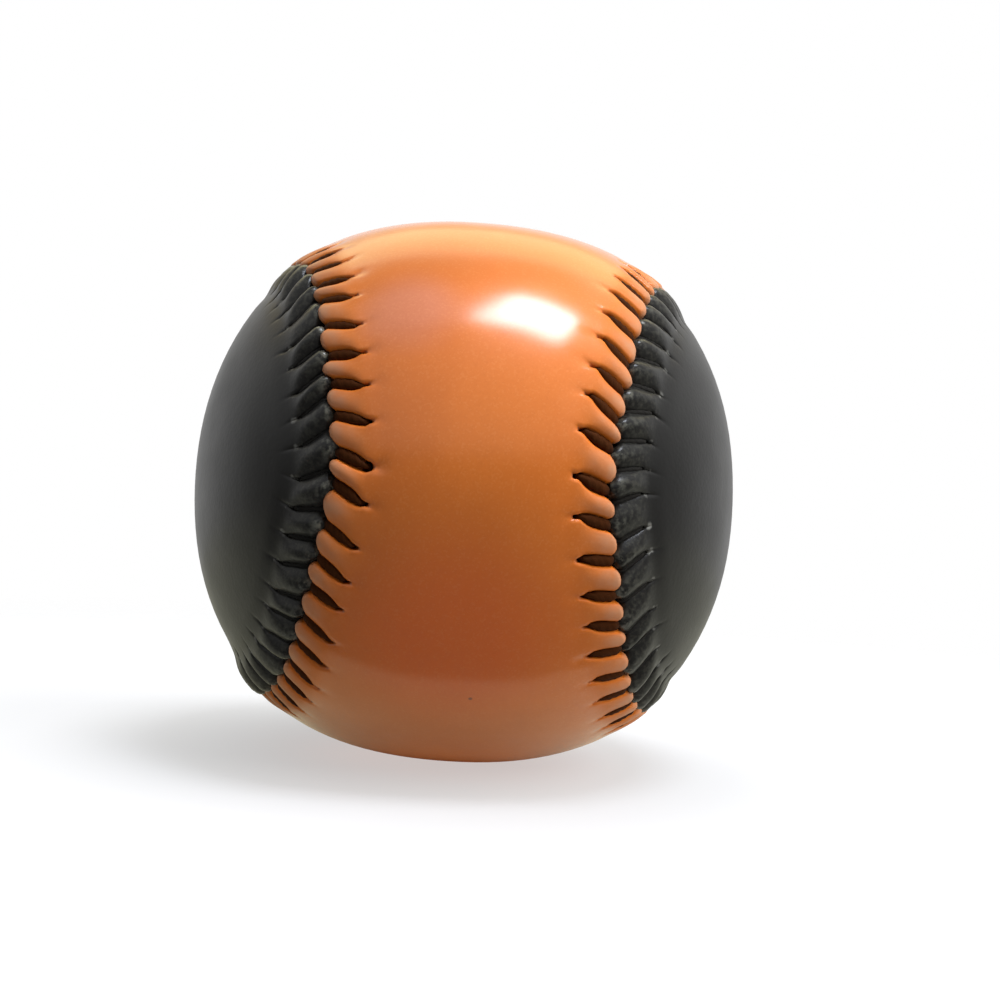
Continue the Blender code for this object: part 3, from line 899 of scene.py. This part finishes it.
def sponge_rubber():
    """Brown sponge rubber: open pores of two sizes in a matt skin, the larger pores darkened as painted
    shade.
    """
    made, tree, shader = finish_named("sponge_rubber", roughness=0.95, specular_ior_level=0.2)
    place = place_in_object(tree)
    pores = cells(tree, place, 1.7)["Distance"]
    fine = cells(tree, place, 0.6)["Distance"]
    colour = blend_colour(tree, between(tree, noise(tree, place, 6), 0.3, 0.7), *SPONGE)
    # painted shade: darker in the larger pores
    colour = blend_colour(tree, between(tree, pores, 0.12, 0.4, 0.8, 0.0), colour, SPONGE_PORE_SHADE)
    tree.links.new(colour, shader.inputs["Base Color"])
    tree.links.new(relief(tree, fine, 0.2, 0.6, relief(tree, pores, 0.5, 0.9)), shader.inputs["Normal"])
    return made


def dress(piece, node, finish):
    """Gives a piece its finish, and sets it on the ball's one body in place of its plain solid."""
    piece.data.materials.append(finish)
    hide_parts(node)
    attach(piece, BODY)


# Pieces and their finishes
orange_sewing = hand_sewing(ORANGE_ROW, ORANGE_SEED)
black_sewing = hand_sewing(BLACK_ROW, BLACK_SEED)
orange_cover = cover_panel("orange_cover", orange_sewing, ORANGE_PHASE, black=False)
black_cover = cover_panel("black_cover", black_sewing, BLACK_PHASE, black=True)
thread = stitching_thread("lacing_thread", orange_sewing, black_sewing)
orange_lining = foam_lining("orange_lining", ORANGE_ROW, black=False)
black_lining = foam_lining("black_lining", BLACK_ROW, black=True)
core = sponge_core("core")

foam = lining_foam()
dress(orange_cover, "orange_cover_panel", pearl_orange_leather())
dress(black_cover, "black_cover_panel", satin_black_leather())
dress(thread, "stitching_thread", waxed_black_thread())
dress(orange_lining, "orange_foam_lining", foam)
dress(black_lining, "black_foam_lining", foam)
dress(core, "sponge_core", sponge_rubber())

# Camera: straight at the waist, a little below the middle and rolled, at phone distance
CAMERA_OUT = Vector((-0.0221, -0.9975, -0.0669)).normalized()
CAMERA_UP = Vector((-0.0598, -0.0654, 0.9961))
CAMERA_DISTANCE = 4.0 * MEAN_RADIUS * MM
FOCAL_PIXELS = 1070.9
IMAGE_PIXELS = 1000
BALL_PIXEL = (464.2, 492.5)
SENSOR = 36.0

camera = bpy.data.cameras.new("camera")
camera.sensor_width = SENSOR
camera.lens = SENSOR * FOCAL_PIXELS / IMAGE_PIXELS
camera.shift_x = 0.5 - BALL_PIXEL[0] / IMAGE_PIXELS
camera.shift_y = BALL_PIXEL[1] / IMAGE_PIXELS - 0.5
camera.clip_start = 0.01
camera_right = CAMERA_UP.cross(CAMERA_OUT).normalized()
camera_up = CAMERA_OUT.cross(camera_right)
turn = Matrix((camera_right, camera_up, CAMERA_OUT)).transposed().to_4x4()
camera_object = bpy.data.objects.new("camera", camera)
camera_object.matrix_world = Matrix.Translation(CAMERA_OUT * CAMERA_DISTANCE) @ turn
bpy.context.scene.collection.objects.link(camera_object)
bpy.context.scene.camera = camera_object

# Studio: the paper floor, in metres from the middle of the ball, and the room, in parts of a unit direction
WHITE = (1, 1, 1, 1)
FLOOR_HEIGHT = -PANEL_MIDDLE_RADIUS * MM
FLOOR_HALF = 2.0
FLOOR_COLOUR = (0.28, 0.28, 0.28, 1)
FLOOR_LIFT = 0.77
CONTACT = (0.036, 0.07)
CONTACT_LIFT = 0.5
MIRRORED_CONTACT = (0.0355, 0.0435)
MIRRORED_LIFT = (0.0, 0.56)
MIRRORED_TINT = (1.0, 0.98, 0.68, 1)
CAMERA_SIDE = (0.0305, 0.0335)
CAMERA_SIDE_DIM = 0.06
CAMERA_SIDE_COLOUR = (0.21, 0.2, 0.18, 1)
BOUNCE_REACH = (0.037, 0.044)
BOUNCE = (0.6, 0.06)
FLOOR_FADE = (0.12, 0.42)
AMBIENT = 0.12
ROOM_DIM = 0.35
ROOM_SIDES = (-0.4, -0.1)
ROOM_WALLS = (0.1, 0.4)
OVERHEAD = (0.85, 0.94)
OVERHEAD_FRONT = (-0.38, -0.3)
WARM_HEIGHT = (0.42, 0.62)
WARM_BACK = (-0.3, -0.5)
WARM_WHITE = (1.0, 0.82, 0.5, 1)


def soft_box(name, towards, distance, size, power, roll=0.0, colour=(1.0, 1.0, 1.0)):
    """Soft box facing the ball: towards is its direction as right, up and forward parts of the camera."""
    light = bpy.data.lights.new(name, "AREA")
    light.shape = "RECTANGLE"
    light.size, light.size_y = size
    light.energy = power
    light.color = colour
    lamp = bpy.data.objects.new(name, light)
    out = (camera_right * towards[0] + camera_up * towards[1] + CAMERA_OUT * towards[2]).normalized()
    across = (camera_right - out * camera_right.dot(out)).normalized()
    turned = Matrix((across, out.cross(across), out)).transposed().to_4x4()
    lamp.matrix_world = Matrix.Translation(out * distance) @ turned @ Matrix.Rotation(roll, 4, "Z")
    bpy.context.scene.collection.objects.link(lamp)
    return lamp


# Lamps: a key, two dim ones overhead, a card that only shows as a reflection and a fill that never does
KEY_COLOUR = (0.95, 1.0, 1.12)
CEILING_COLOUR = (0.88, 1.0, 0.62)
CARD_COLOUR = (1.0, 0.95, 0.55)
soft_box("key", (0.28, 0.915, 0.24), 0.6, size=(0.205, 0.155), power=2.45, roll=-0.35, colour=KEY_COLOUR)
soft_box("ceiling", (0.0, 0.906, -0.423), 0.9, size=(1.3, 0.48), power=0.3, colour=CEILING_COLOUR)
top_card = soft_box("top_card", (0.0, 0.83, -0.558), 0.9, size=(1.3, 0.42), power=1.9, colour=CARD_COLOUR)
top_card.visible_diffuse = False
soft_box("left_card", (-0.2, 0.93, 0.21), 0.6, size=(0.28, 0.2), power=0.1)
front_fill = soft_box("front_fill", (0.86, 0.52, 0.26), 1.0, size=(0.9, 0.9), power=12.8)
front_fill.visible_glossy = False


def rays(tree):
    """Whether a ray comes from the camera, from a mirroring or clear surface, or from a dull one."""
    path = add(tree, "ShaderNodeLightPath").outputs
    reflecting = math_node(tree, "MAXIMUM", path["Is Glossy Ray"], path["Is Transmission Ray"])
    return path["Is Camera Ray"], reflecting, path["Is Diffuse Ray"]


def room_light(tree):
    """Colour and strength of the white room: full where the camera sees it; where the leather mirrors it,
    full at the backdrop, warm high up behind, and dim at the walls round the camera and straight overhead;
    and low as plain fill light."""
    from_camera, reflecting, _ = rays(tree)
    towards = add(tree, "ShaderNodeTexCoord").outputs["Generated"]
    front = vector_node(tree, "DOT_PRODUCT", towards, CAMERA_OUT, output="Value")
    height = vector_node(tree, "DOT_PRODUCT", towards, camera_up, output="Value")
    wall = times(tree, between(tree, front, *ROOM_SIDES), between(tree, height, *ROOM_WALLS, 1.0, 0.0))
    overhead = times(tree, between(tree, front, *OVERHEAD_FRONT), between(tree, height, *OVERHEAD))
    room = between(tree, math_node(tree, "MAXIMUM", wall, overhead), 0.0, 1.0, 1.0, ROOM_DIM)
    behind = times(tree, between(tree, height, *WARM_HEIGHT), between(tree, front, *WARM_BACK))
    colour = blend_colour(tree, times(tree, reflecting, behind), WHITE, WARM_WHITE)
    seen = math_node(tree, "MAXIMUM", times(tree, reflecting, room), from_camera)
    return colour, math_node(tree, "MAXIMUM", AMBIENT, seen)


def pale_floor():
    """White paper that takes the shadow near the ball, deepened there by a painted contact shadow, and
    fades into the white backdrop further out. Near the ball it glows for dull rays as painted bounce light.
    In the leather's reflections it is warm beside the ball and darker on the camera's side, as painted
    reflections."""
    made = bpy.data.materials.new("pale_floor")
    made.use_nodes = True
    tree = made.node_tree
    tree.nodes.clear()
    from_camera, reflecting, from_dull = rays(tree)
    place = place_in_object(tree)
    reach = vector_node(tree, "LENGTH", place, output="Value")
    front = vector_node(tree, "DOT_PRODUCT", place, CAMERA_OUT, output="Value")
    # less glow near the ball for the camera: a painted contact shadow
    seen = times(tree, from_camera, between(tree, reach, *CONTACT, CONTACT_LIFT, FLOOR_LIFT))
    ahead = between(tree, front, *CAMERA_SIDE)
    dim = between(tree, ahead, 0.0, 1.0, 1.0, CAMERA_SIDE_DIM)
    mirrored = times(tree, dim, between(tree, reach, *MIRRORED_CONTACT, *MIRRORED_LIFT))
    colour = blend_colour(tree, times(tree, reflecting, ahead), FLOOR_COLOUR, CAMERA_SIDE_COLOUR)
    paper = add(tree, "ShaderNodeBsdfDiffuse", {"Color": colour}).outputs[0]
    # painted bounce light: the paper near the ball glows for dull rays, though it is no lamp
    bounce = times(tree, from_dull, between(tree, reach, *BOUNCE_REACH, *BOUNCE))
    lift = math_node(tree, "ADD", math_node(tree, "ADD", seen, bounce), times(tree, reflecting, mirrored))
    tint = blend_colour(tree, reflecting, WHITE, MIRRORED_TINT)
    glow = add(tree, "ShaderNodeEmission", {"Color": tint, "Strength": lift}).outputs[0]
    near = add(tree, "ShaderNodeAddShader", {0: paper, 1: glow}).outputs[0]
    clear = add(tree, "ShaderNodeBsdfTransparent").outputs[0]
    fade = between(tree, reach, *FLOOR_FADE)
    mixed = add(tree, "ShaderNodeMixShader", {0: fade, 1: near, 2: clear}).outputs[0]
    add(tree, "ShaderNodeOutputMaterial", {"Surface": mixed})
    return made


square = ((-1, -1), (1, -1), (1, 1), (-1, 1))
corners = [(x * FLOOR_HALF, y * FLOOR_HALF, FLOOR_HEIGHT) for x, y in square]
floor_mesh = bpy.data.meshes.new("floor")
floor_mesh.from_pydata(corners, [], [(0, 1, 2, 3)])
floor = bpy.data.objects.new("floor", floor_mesh)
floor.data.materials.append(pale_floor())
bpy.context.scene.collection.objects.link(floor)

world = bpy.data.worlds.new("studio")
world.use_nodes = True
bpy.context.scene.world = world
backdrop = world.node_tree.nodes["Background"]
room_colour, room_strength = room_light(world.node_tree)
world.node_tree.links.new(room_colour, backdrop.inputs["Color"])
world.node_tree.links.new(room_strength, backdrop.inputs["Strength"])

bpy.context.scene.view_settings.view_transform = "Standard"
